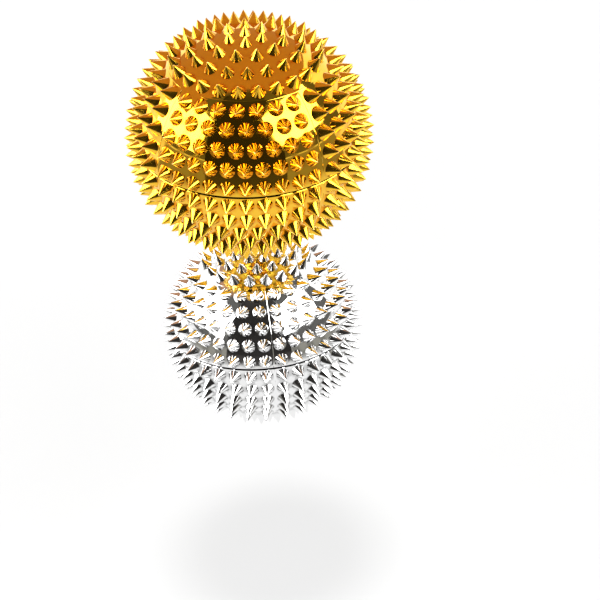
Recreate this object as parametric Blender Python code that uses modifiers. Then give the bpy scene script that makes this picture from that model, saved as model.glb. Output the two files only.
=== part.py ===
"""Magnetic massage-ball pair: a large spiked ball with a smaller one hanging from it by magnets.

Each ball is two glued half shells covered in sharp cones. A disc magnet sits in a moulded socket
behind each pole, held by a pressed-in retainer. Units are metres, +Z is up, and the origin is the
top of the upper ball, where fingers hold it.
"""

from math import asin, cos, pi, radians, sin, sqrt

import bmesh
import bpy
from mathutils import Matrix, Vector

MM = 0.001

# Joint line and clearances shared by both balls.
SEAM_GAP = 0.3 * MM
CLEARANCE = 0.3 * MM
BALL_GAP = 0.3 * MM
WALL = 1.6 * MM
LIP_HEIGHT = 2.0 * MM
LIP_ROOT = 3.0 * MM
LIP_WALL = 1.0 * MM
FACET_ALLOWANCE = 0.4 * MM

# Magnet, its moulded socket ring and the retainer pressed into it.
MAGNET_RADIUS = 6.0 * MM
MAGNET_THICKNESS = 4.0 * MM
MAGNET_EDGE = 0.3 * MM
SOCKET_WALL = 1.5 * MM
SOCKET_SEAT_WALL = 1.2 * MM
RETAINER_PLUG = 1.2 * MM
RETAINER_FLANGE = 1.0 * MM

# Facets: spikes, shell rims, turned hollows and turned inner pieces.
SPIKE_SIDES = 5
RIM_SIDES = 48
HOLLOW_SIDES = 24
TURNED_SIDES = 24
DOME_STEPS = 5

# Mould: four side slides shape the belt rows, and one cap insert shapes each pole. A cone turns and
# lifts only so far from its slide's draw, so that the slide can leave it. Cap cones are smaller.
PANELS = 4
SLIDE_LIMIT = 22.0
CAP_SPREAD = 0.85

GOLD = {
    "name": "gold",
    "body_radius": 25.3 * MM,
    "tip_radius": 28.0 * MM,
    "pole_radius": 27.5 * MM,
    "spike_length": 2.8 * MM,
    "spike_radius": 1.72 * MM,
    "belt_rows": [(4.7, 10), (14.3, 10), (23.9, 9), (33.5, 8), (42.6, 7)],
    "cap_rows": [(52.2, 24), (61.8, 18), (71.4, 12), (81.0, 6), (90.0, 1)],
    "cap_shares": [0.95, 0.85, 0.85, 0.75, 0.75],
    "panel_centre": -8.0,
    "panel_fill": 0.985,
    "slide_spread": 0.68,
    "lean": (4.2, 1.1),
}
SILVER = {
    "name": "silver",
    "body_radius": 21.5 * MM,
    "tip_radius": 24.1 * MM,
    "pole_radius": 23.5 * MM,
    "spike_length": 2.7 * MM,
    "spike_radius": 1.55 * MM,
    "belt_rows": [(5.2, 9), (15.5, 9), (25.8, 8), (36.1, 7), (46.3, 6)],
    "cap_rows": [(56.4, 20), (64.8, 16), (73.2, 11), (81.6, 6), (90.0, 1)],
    "cap_shares": [0.9, 0.8, 0.8, 0.7, 0.7],
    "panel_centre": 50.7,
    "panel_fill": 1.0,
    "slide_spread": 0.83,
    "lean": (-5.6, -0.9),
}

FINISHES = {
    "gold_plating": ((0.92, 0.58, 0.12), 0.06, 1.0),
    "silver_plating": ((0.82, 0.82, 0.84), 0.06, 1.0),
    "magnet_nickel": ((0.62, 0.61, 0.58), 0.25, 1.0),
    "retainer_plastic": ((0.06, 0.06, 0.07), 0.5, 0.0),
}


def clear_scene():
    """Empty the scene of every object and collection it holds."""
    for item in list(bpy.data.objects):
        bpy.data.objects.remove(item, do_unlink=True)
    for group in list(bpy.data.collections):
        bpy.data.collections.remove(group)


def new_collection(name):
    group = bpy.data.collections.new(name)
    bpy.context.scene.collection.children.link(group)
    return group


def finish(name):
    """The Principled material of one finish, made once."""
    material = bpy.data.materials.get(name)
    if material:
        return material
    colour, roughness, metallic = FINISHES[name]
    material = bpy.data.materials.new(name)
    material.use_nodes = True
    shader = material.node_tree.nodes["Principled BSDF"]
    shader.inputs["Base Color"].default_value = (*colour, 1.0)
    shader.inputs["Roughness"].default_value = roughness
    shader.inputs["Metallic"].default_value = metallic
    return material


def on_sphere(radius, longitude, latitude):
    """A point at a longitude (0 faces -Y, positive turns to +X) and a latitude, in degrees."""
    turn = radians(longitude)
    lift = radians(latitude)
    return radius * Vector((sin(turn) * cos(lift), -cos(turn) * cos(lift), sin(lift)))


def clamp(value, low, high):
    return max(low, min(high, value))


def belt_spikes(ball, side):
    """Base direction, pointing direction and size of every spike that the side slides shape."""
    width = 360.0 / PANELS
    for latitude, count in ball["belt_rows"]:
        signed = side * latitude
        lift = clamp(signed, -SLIDE_LIMIT, SLIDE_LIMIT)
        pitch = width / count * ball["panel_fill"]
        for panel in range(PANELS):
            centre = ball["panel_centre"] + panel * width
            for column in range(count):
                offset = (column - (count - 1) / 2) * pitch
                base = on_sphere(1.0, centre + offset, signed)
                points = on_sphere(1.0, centre + offset * ball["slide_spread"], lift)
                yield base, points, 1.0


def cap_spikes(ball, side):
    """Base direction, pointing direction and size of every spike that a cap insert shapes."""
    for row, (latitude, count) in enumerate(ball["cap_rows"]):
        lift = 90.0 - CAP_SPREAD * (90.0 - latitude)
        for column in range(count):
            longitude = (column + 0.5 * ((row + 1) % 2)) * 360.0 / count
            base = on_sphere(1.0, longitude, side * latitude)
            points = on_sphere(1.0, longitude, side * lift)
            yield base, points, ball["cap_shares"][row]


def spike_tip(ball, foot, points, share):
    """The tip of a spike standing on foot, no further out than the ball's tip radius."""
    along = foot.dot(points)
    reach = sqrt(along**2 - foot.length_squared + ball["tip_radius"] ** 2) - along
    return foot + points * min(reach, share * ball["spike_length"])


def spiked_half(ball, side, group):
    """One solid half ball with its spikes, as a hull of their base rings with each ring raised."""
    mesh = bmesh.new()
    radius = ball["body_radius"]
    spikes = []
    for base, points, share in [*belt_spikes(ball, side), *cap_spikes(ball, side)]:
        half_width = asin(share * ball["spike_radius"] / radius)
        across = base.orthogonal().normalized()
        rim = (across * sin(half_width) + base * cos(half_width)) * radius
        turn = Matrix.Rotation(2 * pi / SPIKE_SIDES, 3, base)
        ring = []
        for _ in range(SPIKE_SIDES):
            ring.append(mesh.verts.new(rim))
            rim = turn @ rim
        foot = base * radius * cos(half_width)
        spikes.append((ring, spike_tip(ball, foot, points, share)))
    height = side * SEAM_GAP / 2
    edge_radius = sqrt(radius**2 - height**2)
    for step in range(RIM_SIDES):
        angle = 2 * pi * step / RIM_SIDES
        mesh.verts.new((edge_radius * cos(angle), edge_radius * sin(angle), height))
    bmesh.ops.convex_hull(mesh, input=mesh.verts[:])
    for ring, tip in spikes:
        members = set(ring)
        floor = {f for v in ring for f in v.link_faces if members.issuperset(f.verts)}
        base_face = bmesh.ops.dissolve_faces(mesh, faces=list(floor))["region"]
        centre = bmesh.ops.poke(mesh, faces=base_face)["verts"][0]
        centre.co = tip
    bmesh.ops.recalc_face_normals(mesh, faces=mesh.faces[:])
    name = f"{ball['name']}_{'upper' if side > 0 else 'lower'}_shell"
    data = bpy.data.meshes.new(name)
    mesh.to_mesh(data)
    mesh.free()
    shell = bpy.data.objects.new(name, data)
    group.objects.link(shell)
    return shell


def turned(name, profile, side, sides, group):
    """A solid turned about Z from (radius, height) points that run from its top to its bottom."""
    points = [(r, 0.0, side * z) for r, z in profile]
    if side < 0:
        points.reverse()
    data = bpy.data.meshes.new(name)
    data.from_pydata(points, [(i, i + 1) for i in range(len(points) - 1)], [])
    item = bpy.data.objects.new(name, data)
    group.objects.link(item)
    screw = item.modifiers.new("turn", "SCREW")
    screw.axis = "Z"
    screw.steps = sides
    screw.render_steps = sides
    screw.use_merge_vertices = True
    screw.merge_threshold = 0.00001
    return item


def dome(radius, from_radius, to_height):
    """Points down the inside of a dome, from a distance off the axis to a height."""
    top = sqrt(radius**2 - from_radius**2)
    start = asin(top / radius)
    end = asin(to_height / radius)
    steps = [start + (end - start) * i / DOME_STEPS for i in range(DOME_STEPS + 1)]
    return [(radius * cos(a), radius * sin(a)) for a in steps]


def socket_heights(ball):
    """Heights of the magnet's seat, the magnet, the retainer and the socket ring's end."""
    bore = MAGNET_RADIUS + CLEARANCE
    seat = sqrt(ball["body_radius"] ** 2 - bore**2) - SOCKET_SEAT_WALL
    magnet_top = seat - CLEARANCE
    plug_top = magnet_top - MAGNET_THICKNESS - CLEARANCE
    ring_end = plug_top - RETAINER_PLUG + CLEARANCE
    return seat, magnet_top, plug_top, ring_end


def hollow_profile(ball, side):
    """The hollow of one half: magnet socket, dome and, on the lower half, the joint lip."""
    seat, _, _, ring_end = socket_heights(ball)
    bore = MAGNET_RADIUS + CLEARANCE
    ring = bore + SOCKET_WALL
    inside = ball["body_radius"] - WALL
    points = [(0.0, seat), (bore, seat), (bore, ring_end), (ring, ring_end)]
    if side > 0:
        points += dome(inside, ring, 0.0)
        points += [(inside, -LIP_HEIGHT), (0.0, -LIP_HEIGHT)]
        return points
    throat = lip_radius(ball) - LIP_WALL
    points += dome(inside, ring, 2 * LIP_ROOT)
    points += [(throat, LIP_ROOT), (throat, -2 * LIP_HEIGHT), (0.0, -2 * LIP_HEIGHT)]
    return points


def lip_radius(ball):
    """Outside of the lower half's lip, which stands inside the upper half."""
    inside = ball["body_radius"] - WALL
    return sqrt(inside**2 - LIP_HEIGHT**2) - CLEARANCE - FACET_ALLOWANCE


def hide_cutter(item):
    item.hide_render = True
    item.display_type = "WIRE"


def cut(target, cutter, operation):
    step = target.modifiers.new(operation.lower(), "BOOLEAN")
    step.operation = operation
    step.solver = "EXACT"
    step.object = cutter
    hide_cutter(cutter)


def half_shell(ball, side, parts, cutters):
    """A hollow half shell, with the lip on the lower one."""
    shell = spiked_half(ball, side, parts)
    tools = []
    if side < 0:
        radius = lip_radius(ball)
        lip = [(0.0, LIP_HEIGHT), (radius, LIP_HEIGHT), (radius, -LIP_ROOT), (0.0, -LIP_ROOT)]
        tools.append(turned(f"{shell.name}_lip", lip, 1, HOLLOW_SIDES * 2, cutters))
        cut(shell, tools[-1], "UNION")
    profile = hollow_profile(ball, side)
    tools.append(turned(f"{shell.name}_hollow", profile, side, HOLLOW_SIDES, cutters))
    cut(shell, tools[-1], "DIFFERENCE")
    return shell, tools


def disc_magnet(ball, side, group):
    """A disc magnet with chamfered edges, just inside its seat."""
    _, top, _, _ = socket_heights(ball)
    bottom = top - MAGNET_THICKNESS
    profile = [
        (0.0, top),
        (MAGNET_RADIUS - MAGNET_EDGE, top),
        (MAGNET_RADIUS, top - MAGNET_EDGE),
        (MAGNET_RADIUS, bottom + MAGNET_EDGE),
        (MAGNET_RADIUS - MAGNET_EDGE, bottom),
        (0.0, bottom),
    ]
    name = f"{ball['name']}_{'upper' if side > 0 else 'lower'}_magnet"
    return turned(name, profile, side, TURNED_SIDES, group)


def retainer(ball, side, group):
    """The cap that closes the socket: a plug inside the ring and a flange below it."""
    _, _, top, ring_end = socket_heights(ball)
    flange_top = ring_end - CLEARANCE
    flange_bottom = flange_top - RETAINER_FLANGE
    flange_radius = MAGNET_RADIUS + CLEARANCE + SOCKET_WALL
    profile = [
        (0.0, top),
        (MAGNET_RADIUS, top),
        (MAGNET_RADIUS, flange_top),
        (flange_radius, flange_top),
        (flange_radius, flange_bottom),
        (0.0, flange_bottom),
    ]
    name = f"{ball['name']}_{'upper' if side > 0 else 'lower'}_retainer"
    return turned(name, profile, side, TURNED_SIDES, group)


def shade(item):
    """Smooth on round faces, sharp on edges and spikes."""
    item.data.shade_smooth()
    item.data.set_sharp_from_angle(angle=radians(30.0))


def make_ball(ball, centre_height, parts, cutters):
    """All the pieces of one ball, parented to an empty at its centre that carries its lean."""
    centre = bpy.data.objects.new(f"{ball['name']}_centre", None)
    centre.location = (0.0, 0.0, centre_height)
    lean_x, lean_y = ball["lean"]
    centre.rotation_euler = (radians(lean_x), radians(lean_y), 0.0)
    parts.objects.link(centre)
    for side in (1, -1):
        shell, tools = half_shell(ball, side, parts, cutters)
        magnet = disc_magnet(ball, side, parts)
        cap = retainer(ball, side, parts)
        shell.data.materials.append(finish(f"{ball['name']}_plating"))
        magnet.data.materials.append(finish("magnet_nickel"))
        cap.data.materials.append(finish("retainer_plastic"))
        for item in (shell, magnet, cap, *tools):
            item.parent = centre
        for item in (shell, magnet, cap):
            shade(item)


def main():
    clear_scene()
    parts = new_collection("magnetic_ball_pair")
    cutters = new_collection("cutters")
    gold_height = -GOLD["pole_radius"]
    silver_height = gold_height - GOLD["pole_radius"] - BALL_GAP - SILVER["pole_radius"]
    make_ball(GOLD, gold_height, parts, cutters)
    make_ball(SILVER, silver_height, parts, cutters)


main()
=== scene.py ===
# %% [markdown]
# # A magnetic pair of spiked massage balls
# A gold-plated ball is held from above, and a smaller silver-plated one hangs from it by magnets
# behind their poles. The engineering model gives the sizes, the magnets and the joints. This
# lesson makes the four plated half shells again at full detail, finishes every piece, and lights
# the pair as bright plated plastic is usually lit: by two large white panels with a dark gap
# between them, because a mirror only shows what stands around it.

from math import asin, atan2, cos, degrees, pi, radians, sin, sqrt

import bmesh
import bpy
import numpy as np
from mathutils import Euler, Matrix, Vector
from mathutils.geometry import delaunay_2d_cdt


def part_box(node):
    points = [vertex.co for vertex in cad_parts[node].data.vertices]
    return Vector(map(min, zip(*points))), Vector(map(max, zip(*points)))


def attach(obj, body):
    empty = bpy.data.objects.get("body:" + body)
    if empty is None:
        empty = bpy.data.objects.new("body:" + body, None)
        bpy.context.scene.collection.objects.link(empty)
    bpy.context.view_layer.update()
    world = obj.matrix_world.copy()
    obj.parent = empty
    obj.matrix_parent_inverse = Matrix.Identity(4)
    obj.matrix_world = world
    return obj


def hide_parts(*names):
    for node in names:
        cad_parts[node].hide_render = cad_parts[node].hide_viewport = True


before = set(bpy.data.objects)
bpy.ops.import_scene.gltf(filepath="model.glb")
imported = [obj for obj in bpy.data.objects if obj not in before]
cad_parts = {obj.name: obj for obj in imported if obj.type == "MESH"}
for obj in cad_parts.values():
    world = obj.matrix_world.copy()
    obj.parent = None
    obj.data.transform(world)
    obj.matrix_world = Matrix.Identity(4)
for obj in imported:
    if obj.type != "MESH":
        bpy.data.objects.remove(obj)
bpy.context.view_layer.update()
print("pieces in the frame:", sorted(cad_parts))

# %% [markdown]
# ## The lattice of cones
# Each ball is moulded in four side slides and two cap inserts. A slide shapes a quarter of the
# belt, so its cones stand in level rows that lose one cone per row towards the pole, and the
# columns of neighbouring rows are staggered where the count changes. A cap insert shapes rings
# of smaller cones round the pole. Rows, counts and angles are the plan of the whole ball, so they
# come first, as one dictionary per ball: rows are pairs of a latitude in degrees and a number of
# cones, counted per slide in the belt and per ring in the cap, whose rings also have a size each.

# %% Sizes shared by both balls
MM = 0.001
SEAM_GAP = 0.3 * MM
SEAM_CHAMFER = 0.1 * MM
CLEARANCE = 0.3 * MM
WALL = 1.6 * MM
LIP_HEIGHT = 2.0 * MM
LIP_ROOT = 3.0 * MM
LIP_WALL = 1.0 * MM
LIP_SLACK = 0.7 * MM
MAGNET_RADIUS = 6.0 * MM
MAGNET_THICKNESS = 4.0 * MM
SOCKET_WALL = 1.5 * MM
SOCKET_SEAT_WALL = 1.2 * MM
RETAINER_PLUG = 1.2 * MM
PANELS = 4
SLIDE_LIMIT = 22.0
CAP_SPREAD = 0.85

# %% The two balls
GOLD = {
    "name": "gold",
    "body": "gold_ball",
    "body_radius": 25.3 * MM,
    "tip_radius": 28.0 * MM,
    "spike_length": 2.8 * MM,
    "spike_radius": 1.72 * MM,
    "belt_rows": [(4.7, 10), (14.3, 10), (23.9, 9), (33.5, 8), (42.6, 7)],
    "cap_rows": [(52.2, 24), (61.8, 18), (71.4, 12), (81.0, 6), (90.0, 1)],
    "cap_shares": [0.95, 0.85, 0.85, 0.75, 0.75],
    "cap_line": 47.4,
    "panel_centre": -8.0,
    "panel_fill": 0.985,
    "slide_spread": 0.68,
    "lean": (4.2, 1.1),
}
SILVER = {
    "name": "silver",
    "body": "silver_ball",
    "body_radius": 21.5 * MM,
    "tip_radius": 24.1 * MM,
    "spike_length": 2.7 * MM,
    "spike_radius": 1.55 * MM,
    "belt_rows": [(5.2, 9), (15.5, 9), (25.8, 8), (36.1, 7), (46.3, 6)],
    "cap_rows": [(56.4, 20), (64.8, 16), (73.2, 11), (81.6, 6), (90.0, 1)],
    "cap_shares": [0.9, 0.8, 0.8, 0.7, 0.7],
    "cap_line": 51.35,
    "panel_centre": 50.7,
    "panel_fill": 1.0,
    "slide_spread": 0.83,
    "lean": (-5.6, -0.9),
}
BALLS = (GOLD, SILVER)


def ball_centre(ball):
    """The ball's centre: midway between its two magnets, which sit evenly about it."""
    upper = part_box(f"{ball['name']}_upper_magnet")
    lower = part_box(f"{ball['name']}_lower_magnet")
    return (upper[0] + upper[1] + lower[0] + lower[1]) / 4


for ball in BALLS:
    print(ball["name"], "centre in mm:", [round(v / MM, 2) for v in ball_centre(ball)])


# %% [markdown]
# ### Where the cones stand
# A cone pulled out of a steel slide can't point just anywhere: it turns and lifts only part of
# the way from the slide's own draw, or it would tear as the mould opens. So each cone has two
# directions, one for its place on the ball and one for the way it points.

# %% Places and directions of the cones
QUARTER = 360.0 / PANELS


def on_sphere(longitude, latitude):
    """A unit vector; longitude 0 faces -Y and turns to +X, latitude rises to +Z, in degrees."""
    turn, lift = radians(longitude), radians(latitude)
    return Vector((sin(turn) * cos(lift), -cos(turn) * cos(lift), sin(lift)))


def belt_cones(ball):
    """Base, pointing direction and size of each cone that the side slides shape, upper half."""
    for latitude, count in ball["belt_rows"]:
        lift = min(latitude, SLIDE_LIMIT)
        pitch = QUARTER / count * ball["panel_fill"]
        for panel in range(PANELS):
            centre = ball["panel_centre"] + panel * QUARTER
            for column in range(count):
                offset = (column - (count - 1) / 2) * pitch
                leaned = centre + offset * ball["slide_spread"]
                yield on_sphere(centre + offset, latitude), on_sphere(leaned, lift), 1.0


def cap_cones(ball):
    """Base, pointing direction and size of each cone that a cap insert shapes, upper half."""
    for row, (latitude, count) in enumerate(ball["cap_rows"]):
        lift = 90.0 - CAP_SPREAD * (90.0 - latitude)
        for column in range(count):
            longitude = (column + 0.5 * ((row + 1) % 2)) * 360.0 / count
            share = ball["cap_shares"][row]
            yield on_sphere(longitude, latitude), on_sphere(longitude, lift), share


for ball in BALLS:
    cones = len([*belt_cones(ball), *cap_cones(ball)])
    print(ball["name"], "cones on each half:", cones)

# %% [markdown]
# ## The plated skin
# A mirror finish shows every facet, so the skin has to be a true sphere with crisp feet where
# the cones rise. Cutting over 200 cones into a sphere with booleans leaves slivers. Instead the
# half sphere is flattened to a disc by stereographic projection, which keeps circles round, and
# all its points are triangulated there: the rings at the cones' feet, the raised lines that the
# mould's joints leave, and a spread of points between them. A cone then grows from each ring.

# %% Points between the cones
RIM_SIDES = 144
CONE_SIDES = 20
SKIN_PITCH = 0.9 * MM
FIRST_ROW = 0.9
LAST_ROW = 1.5
CLEAR_OF_FEET = 0.35
CLEAR_OF_LINES = 0.6
CLEAR_OF_CAP_LINE = 1.6


def across(direction):
    """Two unit vectors square to a direction and to each other."""
    first = direction.orthogonal().normalized()
    return first, direction.cross(first)


def foot_ring(base, half_width):
    """Unit vectors of the circle that a cone's foot draws on the sphere."""
    first, second = across(base)
    turns = [2 * pi * i / CONE_SIDES for i in range(CONE_SIDES)]
    return [
        (first * cos(a) + second * sin(a)) * sin(half_width) + base * cos(half_width)
        for a in turns
    ]


def slide_edges(ball):
    """Longitudes where two neighbouring slides of the mould meet."""
    return [ball["panel_centre"] + (k + 0.5) * QUARTER for k in range(PANELS)]


def skin_points(ball, feet, half_widths):
    """Evenly spread unit vectors that stay clear of every cone's foot and of the mould lines.

    Margins are in steps of the spread, apart from the cap line's, which is in degrees.
    """
    step = SKIN_PITCH / ball["body_radius"]
    rows = int((pi / 2 - LAST_ROW * step) / step)
    found = []
    for row in range(1, rows + 1):
        latitude = FIRST_ROW * step + row * step
        count = max(6, round(2 * pi * cos(latitude) / step))
        for column in range(count):
            turn = 360.0 * (column + 0.5 * (row % 2)) / count
            found.append(on_sphere(turn, degrees(latitude)))
    points = np.array(found)
    reach = np.cos(np.array(half_widths) + CLEAR_OF_FEET * step)
    clear = (points @ np.array(feet).T < reach).all(axis=1)
    latitudes = np.degrees(np.arcsin(points[:, 2]))
    clear &= abs(latitudes - ball["cap_line"]) > CLEAR_OF_CAP_LINE
    edges = [radians(edge) for edge in slide_edges(ball)]
    sides = np.array([(cos(edge), sin(edge), 0.0) for edge in edges])
    near = (abs(points @ sides.T) < CLEAR_OF_LINES * step).any(axis=1)
    return [Vector(p) for p in points[clear & ~(near & (latitudes < ball["cap_line"]))]]


# %% [markdown]
# ### Lines left by the mould
# Where two slides meet, and where they meet the cap insert, molten plastic creeps into the joint
# and leaves a thin raised line. Bright plating shows it well. A bump in the material could fake
# it, but three rows of points with the middle one raised catch the light like the real ridge.

# %% Raised lines
LINE_HALF_WIDTH = 0.16 * MM
LINE_HEIGHT = 0.07 * MM
RING_HEIGHT = 0.03 * MM
LINE_STEP = 0.8
LINE_START = 1.1
LINE_END = 3.0


def mould_lines(ball):
    """Triples of unit vectors (one flank, crest, other flank) along each joint of the mould."""
    half = degrees(LINE_HALF_WIDTH / ball["body_radius"])
    top = ball["cap_line"] - LINE_END * half
    steps = round((top - LINE_START) / LINE_STEP)
    lines = []
    for edge in slide_edges(ball):
        line = []
        for i in range(steps + 1):
            latitude = LINE_START + (top - LINE_START) * i / steps
            crest = on_sphere(edge, latitude)
            side = on_sphere(edge + 90.0, 0.0) * radians(half)
            line.append(((crest - side).normalized(), crest, (crest + side).normalized()))
        lines.append((line, False))
    ring = []
    for i in range(RIM_SIDES):
        turn = 360.0 * i / RIM_SIDES
        ring.append(tuple(on_sphere(turn, ball["cap_line"] + k * half) for k in (-1, 0, 1)))
    lines.append((ring, True))
    return lines


# %% [markdown]
# ### One cone
# The moulded cones are plain and sharp, with a small round on the tip so that they press the
# skin without cutting it. The profile is the straight flank up to where it meets the tip's
# little sphere, and then a few steps round it.

# %% Profile of a cone
TIP_ROUND = 0.11 * MM
TIP_STEPS = 3
FLANK_STEPS = 3


def cone_profile(radius, length):
    """(height, radius) pairs above the foot, up to but without the tip itself."""
    apex = length + TIP_ROUND * (1 / sin(atan2(radius, length)) - 1)
    half_angle = atan2(radius, apex)
    middle = apex - TIP_ROUND / sin(half_angle)
    touch = middle + TIP_ROUND * sin(half_angle)
    pairs = []
    for i in range(1, FLANK_STEPS + 1):
        height = touch * i / FLANK_STEPS
        pairs.append((height, radius * (1 - height / apex)))
    for i in range(1, TIP_STEPS):
        angle = half_angle + (pi / 2 - half_angle) * i / TIP_STEPS
        pairs.append((middle + TIP_ROUND * sin(angle), TIP_ROUND * cos(angle)))
    return pairs


sample = cone_profile(GOLD["spike_radius"], GOLD["spike_length"])
print("gold cone in mm:", [(round(h / MM, 2), round(r / MM, 2)) for h, r in sample])


# %% Reach of a cone
def cone_length(ball, foot, points, share):
    """Full length, or less where a leaning cone would pass the ball's tip radius."""
    along = foot.dot(points)
    reach = sqrt(along**2 - foot.length_squared + ball["tip_radius"] ** 2) - along
    return min(reach, share * ball["spike_length"])


# %% [markdown]
# ### The inside
# Behind the skin the half shell is 1.6 mm thick. A ring stands round the pole for the magnet,
# and the lower half has a thin lip that stands inside the upper one and keeps the halves in
# line. The inside is round, so its profile is turned about the axis, from the seam to the pole.

# %% Profile of the inside
DOME_STEPS = 12


def inner_profile(ball, upper):
    """(radius, height) points for an upper half from the seam's outer edge to the pole."""
    inside = ball["body_radius"] - WALL
    bore = MAGNET_RADIUS + CLEARANCE
    ring = bore + SOCKET_WALL
    seat = sqrt(ball["body_radius"] ** 2 - bore**2) - SOCKET_SEAT_WALL
    ring_end = seat - MAGNET_THICKNESS - CLEARANCE - RETAINER_PLUG
    lip = sqrt(inside**2 - LIP_HEIGHT**2) - LIP_SLACK
    low = SEAM_GAP / 2
    if upper:
        points = [(inside, low)]
        start = low / inside
    else:
        points = [(lip, low), (lip, -LIP_HEIGHT), (lip - LIP_WALL, -LIP_HEIGHT)]
        points.append((lip - LIP_WALL, LIP_ROOT))
        start = 2 * LIP_ROOT / inside
    first, last = asin(start), asin(sqrt(1 - (ring / inside) ** 2))
    for i in range(DOME_STEPS + 1):
        angle = first + (last - first) * i / DOME_STEPS
        if i or not upper:
            points.append((inside * cos(angle), inside * sin(angle)))
    return [*points, (ring, ring_end), (bore, ring_end), (bore, seat)], seat


# %% [markdown]
# ### Joining it all
# The flattened points are triangulated with the cones' feet, the rim and the mould lines as
# fixed edges. Triangles inside a foot are left out, and the cone takes their place. Two values
# are stored at each point for the finishes: how far up a cone it is, and how close to a foot.

# %% A skin that grows
MERGE_DISTANCE = 1e-7


def flatten(direction):
    """Stereographic projection of a unit vector of the upper half onto a disc."""
    return Vector((direction.x, direction.y)) / (1 + direction.z)


class Skin:
    """Points, faces and stored values of one half shell while it grows."""

    def __init__(self):
        self.points = []
        self.faces = []
        self.rise = []
        self.foot = []

    def add(self, point, rise=0.0, foot=0.0):
        self.points.append(point)
        self.rise.append(rise)
        self.foot.append(foot)
        return len(self.points) - 1

    def bridge(self, ring, following):
        """Quads between two closed rings of the same number of points."""
        count = len(ring)
        for i in range(count):
            j = (i + 1) % count
            self.faces.append((ring[i], ring[j], following[j], following[i]))

    def close(self, ring, centre):
        count = len(ring)
        for i in range(count):
            self.faces.append((ring[i], ring[(i + 1) % count], centre))


def triangulate(unit_points, fixed_edges):
    """Triangles between unit vectors of the upper half, with some edges fixed."""
    flat = [flatten(p) for p in unit_points]
    found = delaunay_2d_cdt(flat, fixed_edges, [], 0, MERGE_DISTANCE)
    _, _, triangles, origins, _, _ = found
    return [tuple(origins[i][0] for i in face) for face in triangles if face]


# %% The spiked outside
def outer_skin(ball, skin):
    """The spiked outside of an upper half; returns the point numbers of its rim."""
    radius = ball["body_radius"]
    cones = [*belt_cones(ball), *cap_cones(ball)]
    half_widths = [asin(share * ball["spike_radius"] / radius) for _, _, share in cones]
    rim_height = (SEAM_GAP / 2 + SEAM_CHAMFER) / radius
    rim_latitude = degrees(asin(rim_height))
    rim = [on_sphere(360.0 * i / RIM_SIDES, rim_latitude) for i in range(RIM_SIDES)]
    units = list(rim)
    edges = [(i, (i + 1) % RIM_SIDES) for i in range(RIM_SIDES)]
    owner = {}
    rings = []
    for number, (base, _, _) in enumerate(cones):
        start = len(units)
        units += foot_ring(base, half_widths[number])
        ring = list(range(start, start + CONE_SIDES))
        edges += [(ring[i], ring[(i + 1) % CONE_SIDES]) for i in range(CONE_SIDES)]
        owner.update({i: number for i in ring})
        rings.append(ring)
    crests = {}
    for line, closed in mould_lines(ball):
        for track in range(3):
            start = len(units)
            units += [triple[track] for triple in line]
            edges += [(start + i, start + i + 1) for i in range(len(line) - 1)]
            if closed:
                edges.append((start + len(line) - 1, start))
            if track == 1:
                height = RING_HEIGHT if closed else LINE_HEIGHT
                crests.update(dict.fromkeys(range(start, start + len(line)), height))
    units += skin_points(ball, [base for base, _, _ in cones], half_widths)
    for number, unit in enumerate(units):
        height = radius + crests.get(number, 0.0)
        skin.add(unit * height, 0.0, 1.0 if number in owner else 0.0)
    for face in triangulate(units, edges):
        owners = {owner.get(i, -1 - i) for i in face}
        if len(owners) > 1 or min(owners) < 0:
            skin.faces.append(face)
    for (base, points, share), half_width, ring in zip(cones, half_widths, rings):
        raise_cone(ball, skin, base * cos(half_width), points, share, ring)
    return list(range(RIM_SIDES))


def raise_cone(ball, skin, base, points, share, ring):
    """Grow one cone out of its foot ring."""
    foot = base * ball["body_radius"]
    length = cone_length(ball, foot, points, share)
    spokes = [skin.points[i] - foot for i in ring]
    below = ring
    foot_radius = share * ball["spike_radius"]
    for height, width in cone_profile(foot_radius, length):
        near = width / foot_radius
        level = [skin.add(foot + points * height + s * near, height / length) for s in spokes]
        skin.bridge(below, level)
        below = level
    skin.close(below, skin.add(foot + points * length, 1.0))


# %% The turned inside
def inner_skin(ball, upper, skin, rim):
    """Turn the inside from the rim to the pole, with a chamfer at the seam."""
    radius = ball["body_radius"]
    profile, seat = inner_profile(ball, upper)
    profile.insert(0, (radius - SEAM_CHAMFER, SEAM_GAP / 2))
    below = rim
    for width, height in profile:
        turns = [2 * pi * i / RIM_SIDES for i in range(RIM_SIDES)]
        level = [skin.add(Vector((width * sin(a), -width * cos(a), height))) for a in turns]
        skin.bridge(below, level)
        below = level
    skin.close(below, skin.add(Vector((0.0, 0.0, seat))))


# %% [markdown]
# ### Mirror-smooth shading
# Even fine triangles make reflections ripple. The bare skin between the cones is a true sphere,
# so the normal at each of its points is known exactly, and it is stored as a custom normal. The
# cones and the inside keep the normals that Blender works out from their faces.

# %% Exact normals
SHARP_ANGLE = 32.0
SKIN_TOLERANCE = 0.004 * MM


def true_normals(data, radius, mirrored):
    """Give faces of the bare sphere its exact normals; a zero leaves Blender's own in place."""
    count = len(data.vertices)
    points = np.empty(count * 3)
    data.vertices.foreach_get("co", points)
    points = points.reshape(-1, 3)
    distance = np.linalg.norm(points, axis=1)
    on_skin = abs(distance - radius) < SKIN_TOLERANCE
    heights = points[:, 2] * (-1 if mirrored else 1)
    on_skin &= heights > SEAM_GAP / 2 + SEAM_CHAMFER - SKIN_TOLERANCE
    normals = np.zeros((len(data.loops), 3))
    for face in data.polygons:
        corners = list(face.vertices)
        if on_skin[corners].all():
            for loop, corner in zip(face.loop_indices, corners):
                normals[loop] = points[corner] / distance[corner]
    data.normals_split_custom_set([tuple(n) for n in normals])


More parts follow.
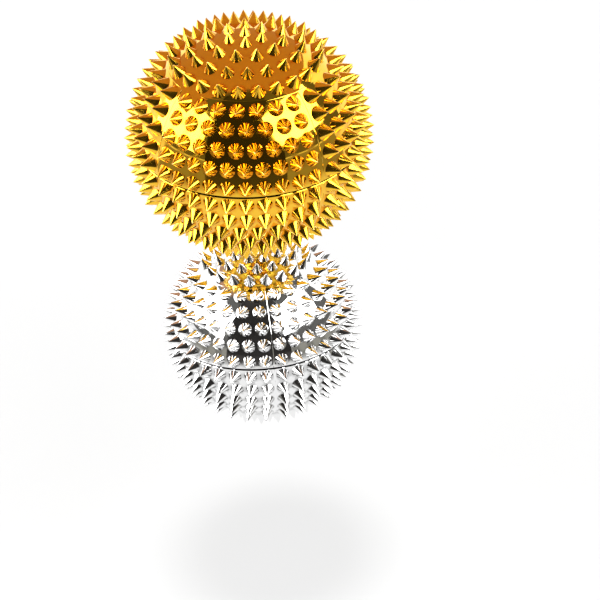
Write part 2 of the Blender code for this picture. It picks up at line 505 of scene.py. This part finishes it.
# %% The half shells
def half_shell(ball, upper):
    """One plated half shell as a single closed mesh, in place on its ball."""
    skin = Skin()
    rim = outer_skin(ball, skin)
    inner_skin(ball, upper, skin, rim)
    if not upper:
        skin.points = [Vector((p.x, p.y, -p.z)) for p in skin.points]
    name = f"{ball['name']}_{'upper' if upper else 'lower'}_skin"
    data = bpy.data.meshes.new(name)
    data.from_pydata([tuple(p) for p in skin.points], [], skin.faces)
    for label, values in (("rise", skin.rise), ("foot", skin.foot)):
        store = data.attributes.new(label, "FLOAT", "POINT")
        store.data.foreach_set("value", values)
    mesh = bmesh.new()
    mesh.from_mesh(data)
    loose = [v for v in mesh.verts if not v.link_faces]
    bmesh.ops.delete(mesh, geom=loose, context="VERTS")
    bmesh.ops.recalc_face_normals(mesh, faces=mesh.faces[:])
    open_edges = sum(len(e.link_faces) != 2 for e in mesh.edges)
    mesh.to_mesh(data)
    mesh.free()
    data.shade_smooth()
    data.set_sharp_from_angle(angle=radians(SHARP_ANGLE))
    true_normals(data, ball["body_radius"], not upper)
    lean = Euler((radians(ball["lean"][0]), radians(ball["lean"][1]), 0.0))
    data.transform(lean.to_matrix().to_4x4())
    shell = bpy.data.objects.new(name, data)
    bpy.context.scene.collection.objects.link(shell)
    shell.location = ball_centre(ball)
    print(name, "faces:", len(data.polygons), "open edges:", open_edges, "loose:", len(loose))
    return shell


SHELLS = {}
for ball in BALLS:
    for half in ("upper", "lower"):
        shell = half_shell(ball, half == "upper")
        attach(shell, ball["body"])
        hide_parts(f"{ball['name']}_{half}_shell")
        SHELLS[shell.name] = shell

# %% [markdown]
# ## Finishes
# Vacuum-plated plastic is a thin mirror of metal under clear or amber lacquer. It is not a
# perfect mirror: the moulding under it has a faint ripple, handling leaves hairlines, the tips
# rub first, and dust gathers round the feet of the cones, where the colour is also darkened as
# painted shade. Each of these is a small node group that hands out a value, so that both
# platings can use it with their own strength.
# All of them are worked out from the object's own coordinates and stored values, so they stay
# with the piece as it moves.

# %% Helpers for node groups
def node_group(name, inputs, outputs):
    """An empty shader group with float inputs and outputs, and its two end nodes."""
    group = bpy.data.node_groups.new(name, "ShaderNodeTree")
    for label, value in inputs:
        socket = group.interface.new_socket(label, in_out="INPUT", socket_type="NodeSocketFloat")
        socket.default_value = value
    for label in outputs:
        group.interface.new_socket(label, in_out="OUTPUT", socket_type="NodeSocketFloat")
    start = group.nodes.new("NodeGroupInput")
    end = group.nodes.new("NodeGroupOutput")
    return group, start, end


def add_node(tree, kind, label="", **settings):
    """A node with a label for its purpose; settings are properties, or else sockets by name."""
    node = tree.nodes.new(kind)
    node.label = label
    for key, value in settings.items():
        if hasattr(node, key):
            setattr(node, key, value)
        else:
            node.inputs[key.replace("_", " ")].default_value = value
    return node


def link(tree, source, output, target, place):
    tree.links.new(source.outputs[output], target.inputs[place])


# %% Ripple of the moulding
FINE_TO_BROAD = 4.0


def ripple_group():
    """Height of a broad ripple with a share of finer lacquer peel over it."""
    group, start, end = node_group("moulding_ripple", [("Scale", 300.0), ("Fine", 0.3)], ["Height"])
    place = add_node(group, "ShaderNodeTexCoord")
    broad = add_node(group, "ShaderNodeTexNoise", "broad flow of the moulding", Detail=1.0)
    fine = add_node(group, "ShaderNodeTexNoise", "lacquer peel", Detail=2.0)
    faster = add_node(group, "ShaderNodeMath", "finer scale", operation="MULTIPLY")
    faster.inputs[1].default_value = FINE_TO_BROAD
    share = add_node(group, "ShaderNodeMath", "share of fine peel", operation="MULTIPLY")
    total = add_node(group, "ShaderNodeMath", "both together", operation="ADD")
    link(group, place, "Object", broad, "Vector")
    link(group, place, "Object", fine, "Vector")
    link(group, start, "Scale", broad, "Scale")
    link(group, start, "Scale", faster, 0)
    link(group, faster, 0, fine, "Scale")
    link(group, fine, 0, share, 0)
    link(group, start, "Fine", share, 1)
    link(group, broad, 0, total, 0)
    link(group, share, 0, total, 1)
    link(group, total, 0, end, "Height")
    return group


# %% Hairlines from handling
HAIRLINE_STRETCH = (1.0, 14.0, 5.0)
HAIRLINE_TURN = (0.4, 0.7, 0.3)
HAIRLINE_CUT = (0.62, 0.72)


def hairline_group():
    """Mask of sparse thin lines: noise stretched along one way, of which only the peaks stay."""
    inputs = [("Scale", 120.0), ("Amount", 0.5)]
    group, start, end = node_group("handling_hairlines", inputs, ["Mask"])
    place = add_node(group, "ShaderNodeTexCoord")
    stretch = add_node(group, "ShaderNodeMapping", "long thin cells")
    stretch.inputs["Scale"].default_value = HAIRLINE_STRETCH
    stretch.inputs["Rotation"].default_value = HAIRLINE_TURN
    lines = add_node(group, "ShaderNodeTexNoise", "hairlines", Detail=3.0, Roughness=0.7)
    keep = add_node(group, "ShaderNodeMapRange", "only the strongest")
    keep.inputs["From Min"].default_value = HAIRLINE_CUT[0]
    keep.inputs["From Max"].default_value = HAIRLINE_CUT[1]
    amount = add_node(group, "ShaderNodeMath", "amount", operation="MULTIPLY")
    link(group, place, "Object", stretch, "Vector")
    link(group, stretch, 0, lines, "Vector")
    link(group, start, "Scale", lines, "Scale")
    link(group, lines, 0, keep, "Value")
    link(group, keep, 0, amount, 0)
    link(group, start, "Amount", amount, 1)
    link(group, amount, 0, end, "Mask")
    return group


# %% Rubbed tips, and feet for dust and painted shade
FLANK_START = 0.3
FOOT_SHARPNESS = 2.0


def wear_group():
    """Masks from the stored values: Tip and Flank on the cones, Foot round their bases."""
    inputs = [("Tip Start", 0.8), ("Foot Width", 0.7)]
    group, start, end = node_group("tips_and_feet", inputs, ["Tip", "Foot", "Flank"])
    rise = add_node(group, "ShaderNodeAttribute", "height up a cone", attribute_name="rise")
    foot = add_node(group, "ShaderNodeAttribute", "closeness to a foot", attribute_name="foot")
    tip = add_node(group, "ShaderNodeMapRange", "tip only")
    flank = add_node(group, "ShaderNodeMapRange", "any part of a cone")
    flank.inputs["From Max"].default_value = FLANK_START
    near = add_node(group, "ShaderNodeMath", "tighten to the foot", operation="POWER")
    sharpen = add_node(group, "ShaderNodeMath", "power", operation="DIVIDE")
    sharpen.inputs[0].default_value = FOOT_SHARPNESS
    link(group, rise, "Fac", tip, "Value")
    link(group, rise, "Fac", flank, "Value")
    link(group, start, "Tip Start", tip, "From Min")
    link(group, foot, "Fac", near, 0)
    link(group, start, "Foot Width", sharpen, 1)
    link(group, sharpen, 0, near, 1)
    link(group, tip, 0, end, "Tip")
    link(group, near, 0, end, "Foot")
    link(group, flank, 0, end, "Flank")
    return group


RIPPLE = ripple_group()
HAIRLINES = hairline_group()
WEAR = wear_group()
print("effect groups:", [g.name for g in (RIPPLE, HAIRLINES, WEAR)])

# %% [markdown]
# ### Plating
# The colour is a true metal colour seen by reflection, deeper round the feet of the cones where
# light bounces between them, and paler on the rubbed tips. Roughness stays low on the skin and
# goes up on the cones' flanks, whose pockets in the mould are only turned and not polished, and
# with hairlines and dust. The lacquer over it is the shader's coat, with its own plain numbers.

# %% Placing groups and mixing colours
def use_group(tree, group, **values):
    node = tree.nodes.new("ShaderNodeGroup")
    node.node_tree = group
    node.label = group.name.replace("_", " ")
    for key, value in values.items():
        node.inputs[key.replace("_", " ")].default_value = value
    return node


def mix_colours(tree, label, under, over):
    """A colour mix: each side is a colour, or a node whose result is the colour."""
    node = add_node(tree, "ShaderNodeMix", label, data_type="RGBA")
    for place, side in ((6, under), (7, over)):
        if isinstance(side, tuple):
            node.inputs[place].default_value = (*side, 1.0)
        else:
            tree.links.new(side.outputs[2], node.inputs[place])
    return node


# %% Plated finishes
POLISH = 0.035
DUST = 0.08
PEEL = 0.4
PEEL_DEPTH = 0.02 * MM


def plating(name, metal, painted_shade_at_feet, at_tips, lacquer, satin):
    """Bright metal plating under lacquer on moulded plastic; satin roughens the cones' flanks."""
    material = bpy.data.materials.new(name)
    material.use_nodes = True
    tree = material.node_tree
    shader = tree.nodes["Principled BSDF"]
    shader.inputs["Metallic"].default_value = 1.0
    shader.inputs["Coat Weight"].default_value = lacquer
    shader.inputs["Coat Roughness"].default_value = 0.03
    shader.inputs["Coat IOR"].default_value = 1.48
    wear = use_group(tree, WEAR, Tip_Start=0.86, Foot_Width=0.8)
    lines = use_group(tree, HAIRLINES, Scale=140.0, Amount=0.10)
    ripple = use_group(tree, RIPPLE, Scale=260.0, Fine=0.18)
    # Painted shade: the colour is darker round the feet of the cones, where light would bounce
    # between them.
    deep = mix_colours(tree, "deeper at the feet", metal, painted_shade_at_feet)
    link(tree, wear, "Foot", deep, 0)
    pale = mix_colours(tree, "paler on the tips", deep, at_tips)
    link(tree, wear, "Tip", pale, 0)
    link(tree, pale, 2, shader, "Base Color")
    dust = add_node(tree, "ShaderNodeMath", "dust at the feet", operation="MULTIPLY_ADD")
    dust.inputs[1].default_value = DUST
    dust.inputs[2].default_value = POLISH
    flank = add_node(tree, "ShaderNodeMath", "satin flanks", operation="MULTIPLY_ADD")
    flank.inputs[1].default_value = satin
    rough = add_node(tree, "ShaderNodeMath", "hairlines on top", operation="ADD")
    link(tree, wear, "Foot", dust, 0)
    link(tree, wear, "Flank", flank, 0)
    link(tree, dust, 0, flank, 2)
    link(tree, flank, 0, rough, 0)
    link(tree, lines, "Mask", rough, 1)
    link(tree, rough, 0, shader, "Roughness")
    bump = add_node(tree, "ShaderNodeBump", "surface ripple", Strength=PEEL, Distance=PEEL_DEPTH)
    link(tree, ripple, "Height", bump, "Height")
    link(tree, bump, 0, shader, "Normal")
    return material


GOLD_PLATING = plating(
    "gold_plating",
    metal=(0.95, 0.54, 0.028),
    # painted shade round the feet of the cones
    painted_shade_at_feet=(0.86, 0.44, 0.018),
    at_tips=(1.0, 0.7, 0.22),
    lacquer=0.35,
    satin=0.13,
)
SILVER_PLATING = plating(
    "silver_plating",
    metal=(0.87, 0.87, 0.87),
    # painted shade round the feet of the cones
    painted_shade_at_feet=(0.6, 0.6, 0.6),
    at_tips=(0.92, 0.92, 0.92),
    lacquer=0.2,
    satin=0.03,
)
for name, shell in SHELLS.items():
    shell.data.materials.append(GOLD_PLATING if name.startswith("gold") else SILVER_PLATING)
print("plated:", sorted(SHELLS))

# %% [markdown]
# ### Magnets and retainers
# Inside, sealed from view, each socket holds a nickel-plated disc magnet under a black moulded
# cap. They keep the shapes of the engineering model. Nickel on a sintered magnet is satin with
# faint tumbling marks, and the cap has the fine even grain of spark-eroded moulding steel.

# %% Inner finishes
GRAIN_IN_ROUGHNESS = 0.15
GRAINS_PER_HAIRLINE = 6


def grained(name, colour, darker, metallic, scale, rough, depth):
    """A finish whose colour, roughness and relief all follow one fine grain."""
    material = bpy.data.materials.new(name)
    material.use_nodes = True
    tree = material.node_tree
    shader = tree.nodes["Principled BSDF"]
    shader.inputs["Metallic"].default_value = metallic
    grain = use_group(tree, RIPPLE, Scale=scale, Fine=0.6)
    lines = use_group(tree, HAIRLINES, Scale=scale / GRAINS_PER_HAIRLINE, Amount=0.15)
    tone = mix_colours(tree, "grain in the colour", colour, darker)
    link(tree, grain, "Height", tone, 0)
    link(tree, tone, 2, shader, "Base Color")
    spread = add_node(tree, "ShaderNodeMath", "roughness", operation="MULTIPLY_ADD")
    spread.inputs[1].default_value = GRAIN_IN_ROUGHNESS
    spread.inputs[2].default_value = rough
    total = add_node(tree, "ShaderNodeMath", "with hairlines", operation="ADD")
    link(tree, grain, "Height", spread, 0)
    link(tree, spread, 0, total, 0)
    link(tree, lines, "Mask", total, 1)
    link(tree, total, 0, shader, "Roughness")
    bump = add_node(tree, "ShaderNodeBump", "grain", Strength=0.4, Distance=depth)
    link(tree, grain, "Height", bump, "Height")
    link(tree, bump, 0, shader, "Normal")
    return material


NICKEL = grained(
    "magnet_nickel",
    colour=(0.66, 0.63, 0.57),
    darker=(0.52, 0.50, 0.46),
    metallic=1.0,
    scale=900.0,
    rough=0.2,
    depth=0.02 * MM,
)
BLACK = grained(
    "retainer_plastic",
    colour=(0.05, 0.05, 0.055),
    darker=(0.03, 0.03, 0.03),
    metallic=0.0,
    scale=2200.0,
    rough=0.42,
    depth=0.04 * MM,
)
for name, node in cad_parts.items():
    if name.endswith(("magnet", "retainer")):
        node.data.materials.clear()
        node.data.materials.append(NICKEL if name.endswith("magnet") else BLACK)
        print(name, "is finished in", node.data.materials[0].name)

# %% [markdown]
# ## Studio
# A mirror ball shows the whole room, so the light is as much a set of cards as a set of lamps.
# The camera stands where someone holding the pair at arm's length would look from, a third of
# the way from level to straight down.

# %% Camera
CAMERA_PLACE = Vector((0.0, -322.57, 139.49)) * MM
CAMERA_TURN = -1.67
CAMERA_TILT = 33.29
CAMERA_ROLL = -2.91
LENS = 96.92
SENSOR = 36.0


def make_camera():
    """The camera, turned and tilted first and then rolled about its own line of sight."""
    data = bpy.data.cameras.new("camera")
    data.lens = LENS
    data.sensor_width = SENSOR
    data.clip_start = 0.01
    data.clip_end = 20.0
    camera = bpy.data.objects.new("camera", data)
    bpy.context.scene.collection.objects.link(camera)
    aim = Euler((radians(90.0 - CAMERA_TILT), 0.0, radians(CAMERA_TURN))).to_matrix()
    roll = Euler((0.0, 0.0, radians(CAMERA_ROLL))).to_matrix()
    camera.location = CAMERA_PLACE
    camera.rotation_euler = (aim @ roll).to_euler()
    bpy.context.scene.camera = camera
    return camera


camera = make_camera()
bpy.context.scene.view_settings.view_transform = "Standard"
print("camera at", [round(v, 3) for v in camera.location])

# %% [markdown]
# ### Floor and cards
# The pair hangs over a wide white floor. The other cards are hidden from the camera and cast
# nothing, so only the mirrors see them: a surround that fades from white to grey, as paper on a
# table ends and a room begins, a dark apron and a dark wall on the viewer's side that give
# polished metal its black shape between the two lamps, white paper behind and beside, and a
# small warm card above in place of the fingers. They are plain planes, since nothing looks at
# their edges. Places are in metres, with the viewer on the -Y side and the pair at the origin.

# %% Cards
ONLY_IN_MIRRORS = []


def card(name, corners, colour, glow, seen):
    """A flat four-cornered card of one tone; seen says whether the camera sees it."""
    data = bpy.data.meshes.new(name)
    data.from_pydata(corners, [], [(0, 1, 2, 3)])
    item = bpy.data.objects.new(name, data)
    bpy.context.scene.collection.objects.link(item)
    material = bpy.data.materials.new(name)
    material.use_nodes = True
    shader = material.node_tree.nodes["Principled BSDF"]
    shader.inputs["Base Color"].default_value = (*colour, 1.0)
    shader.inputs["Roughness"].default_value = 0.9
    shader.inputs["Specular IOR Level"].default_value = 0.0
    shader.inputs["Emission Color"].default_value = (*colour, 1.0)
    shader.inputs["Emission Strength"].default_value = glow
    data.materials.append(material)
    item.visible_camera = seen
    item.visible_shadow = seen
    item.visible_diffuse = seen
    if not seen:
        ONLY_IN_MIRRORS.append(item.name)
    return item


def level_card(name, x, y, z, colour, glow, seen):
    corners = [(x[0], y[0], z), (x[1], y[0], z), (x[1], y[1], z), (x[0], y[1], z)]
    return card(name, corners, colour, glow, seen)


def upright_card(name, x, y, z, colour, glow, seen):
    corners = [(x[0], y, z[0]), (x[1], y, z[0]), (x[1], y, z[1]), (x[0], y, z[1])]
    return card(name, corners, colour, glow, seen)


# %% Floor and what the mirrors see
FLOOR_HEIGHT = -0.151
CARD_LIFT = 0.001
FLOOR_WHITE = (0.24, 0.24, 0.24)
GREY = (0.32, 0.31, 0.27)
PAPER = (0.72, 0.72, 0.72)
DARK = (0.03, 0.028, 0.026)
WARM = (0.26, 0.14, 0.08)
floor = level_card("floor", (-6.0, 6.0), (-6.0, 6.0), FLOOR_HEIGHT, FLOOR_WHITE, 0.0, True)
apron_height = FLOOR_HEIGHT + 2 * CARD_LIFT
apron = [(-0.23, -0.23), (0.15, -0.23), (1.04, -1.6), (-1.6, -1.6)]
card("dark_apron", [(x, y, apron_height) for x, y in apron], DARK, 0.0, False)
upright_card("dark_wall", (-1.0, 0.65), -1.0, (FLOOR_HEIGHT, 2.6), DARK, 0.0, False)
level_card("warm_ceiling", (-0.1, 0.06), (-0.03, 0.12), 0.035, WARM, 1.0, False)
upright_card("paper_behind", (-1.3, 1.3), 1.1, (FLOOR_HEIGHT, 1.5), PAPER, 1.0, False)
for side in (-1.3, 1.3):
    corners = [(side, 0.4, -0.15), (side, 1.1, -0.15), (side, 1.1, 1.3), (side, 0.4, 1.0)]
    card("paper_beside", corners, PAPER, 1.0, False)
surround_height = FLOOR_HEIGHT + CARD_LIFT
surround = level_card(
    "grey_surround", (-3.0, 3.0), (-3.0, 0.06), surround_height, GREY, 1.0, False
)
print("floor:", floor.name, "- for the mirrors only:", sorted(ONLY_IN_MIRRORS))

# %% [markdown]
# ### Even light on the floor
# Lamps light the floor most under the pair. A floor with a little glow of its own, which grows
# with distance, stays one even white to its edge and still keeps the soft shadow under the
# balls. The grey surround is the same idea the other way round, for the mirrors only.

# %% Fading floor and surround
FLOOR_GLOW = 0.52
FAR_GLOW = 0.88
GLOW_REACH = (0.15, 0.8)
PAPER_EDGE = (0.22, 0.36)


def by_distance(tree, label, reach, **settings):
    """A node that goes from 0 to 1 between two distances from the middle of the floor."""
    place = add_node(tree, "ShaderNodeTexCoord")
    distance = add_node(tree, "ShaderNodeVectorMath", "how far out", operation="LENGTH")
    ramp = add_node(tree, "ShaderNodeMapRange", label, **settings)
    ramp.inputs["From Min"].default_value = reach[0]
    ramp.inputs["From Max"].default_value = reach[1]
    link(tree, place, "Object", distance, 0)
    link(tree, distance, "Value", ramp, "Value")
    return ramp


def even_floor(item):
    """Let the floor glow more with distance, where the lamps reach it less."""
    tree = item.data.materials[0].node_tree
    shader = tree.nodes["Principled BSDF"]
    shader.inputs["Emission Color"].default_value = (1.0, 1.0, 1.0, 1.0)
    glow = by_distance(tree, "glow", GLOW_REACH)
    glow.inputs["To Min"].default_value = FLOOR_GLOW
    glow.inputs["To Max"].default_value = FAR_GLOW
    link(tree, glow, 0, shader, "Emission Strength")


def fade_to_grey(item):
    """White near the pair and grey further out, as the paper ends and the room begins."""
    tree = item.data.materials[0].node_tree
    shader = tree.nodes["Principled BSDF"]
    shader.inputs["Base Color"].default_value = (0.0, 0.0, 0.0, 1.0)
    fade = by_distance(tree, "paper to room", PAPER_EDGE, interpolation_type="SMOOTHSTEP")
    tone = mix_colours(tree, "tone", (1.0, 1.0, 1.0), GREY)
    link(tree, fade, 0, tone, 0)
    link(tree, tone, 2, shader, "Emission Color")


even_floor(floor)
fade_to_grey(surround)
print("floor glow:", FLOOR_GLOW, "near,", FAR_GLOW, "far")

# %% [markdown]
# ### Lamps and room
# Two softboxes stand to the left and right on the viewer's side; their bright patches on the
# balls are what reads as polish. A small lamp high above throws the soft shadow, and mirrors
# don't see it. The room itself is dim for mirrors and white for the camera, so that a low view
# still has a white backdrop.

# %% Softboxes and the lamp above
BALL_LEVEL = Vector((0.0, 0.0, -0.05))
SOFTBOX_DISTANCE = 0.62
SOFTBOX_GLOW = 6.5
OVERHEAD_HEIGHT = 3.0
OVERHEAD_SIZE = 0.45
OVERHEAD_GLOW = 110.0


def aimed_direction(turn, lift):
    """Direction from the balls: turn 0 is straight at the viewer's side, + to the right."""
    a, b = radians(turn), radians(lift)
    return Vector((sin(a) * cos(b), -cos(a) * cos(b), sin(b)))


def softbox(name, direction, distance, width, height, radiance):
    """A white light panel that faces the balls from a given direction."""
    data = bpy.data.lights.new(name, "AREA")
    data.shape = "RECTANGLE"
    data.size = width
    data.size_y = height
    data.energy = radiance * pi * width * height
    lamp = bpy.data.objects.new(name, data)
    bpy.context.scene.collection.objects.link(lamp)
    lamp.location = BALL_LEVEL + direction * distance
    lamp.rotation_euler = direction.to_track_quat("Z", "Y").to_euler()
    return lamp


LEFT = aimed_direction(-81.0, 25.0)
RIGHT = aimed_direction(56.5, 33.0)
UP = Vector((0.0, 0.0, 1.0))
softbox("left_softbox", LEFT, SOFTBOX_DISTANCE, 0.72, 0.42, SOFTBOX_GLOW)
softbox("right_softbox", RIGHT, SOFTBOX_DISTANCE, 0.68, 0.40, SOFTBOX_GLOW)
overhead = softbox(
    "overhead_fill", UP, OVERHEAD_HEIGHT, OVERHEAD_SIZE, OVERHEAD_SIZE, OVERHEAD_GLOW
)
overhead.visible_glossy = False

# %% Room
ROOM_GLOW = 0.14


def make_room():
    """A dim room for the mirrors and the floor, with a white backdrop where the camera looks."""
    world = bpy.data.worlds.new("room")
    bpy.context.scene.world = world
    world.use_nodes = True
    tree = world.node_tree
    dim = tree.nodes["Background"]
    dim.inputs["Strength"].default_value = ROOM_GLOW
    dim.inputs["Color"].default_value = (1.0, 0.98, 0.92, 1.0)
    white = add_node(tree, "ShaderNodeBackground", "backdrop", Strength=1.0)
    white.inputs["Color"].default_value = (1.0, 1.0, 1.0, 1.0)
    rays = add_node(tree, "ShaderNodeLightPath", "who is looking")
    choice = add_node(tree, "ShaderNodeMixShader", "room or backdrop")
    link(tree, rays, "Is Camera Ray", choice, 0)
    link(tree, dim, 0, choice, 1)
    link(tree, white, 0, choice, 2)
    link(tree, choice, 0, tree.nodes["World Output"], "Surface")


make_room()
print("room glow for the mirrors:", ROOM_GLOW)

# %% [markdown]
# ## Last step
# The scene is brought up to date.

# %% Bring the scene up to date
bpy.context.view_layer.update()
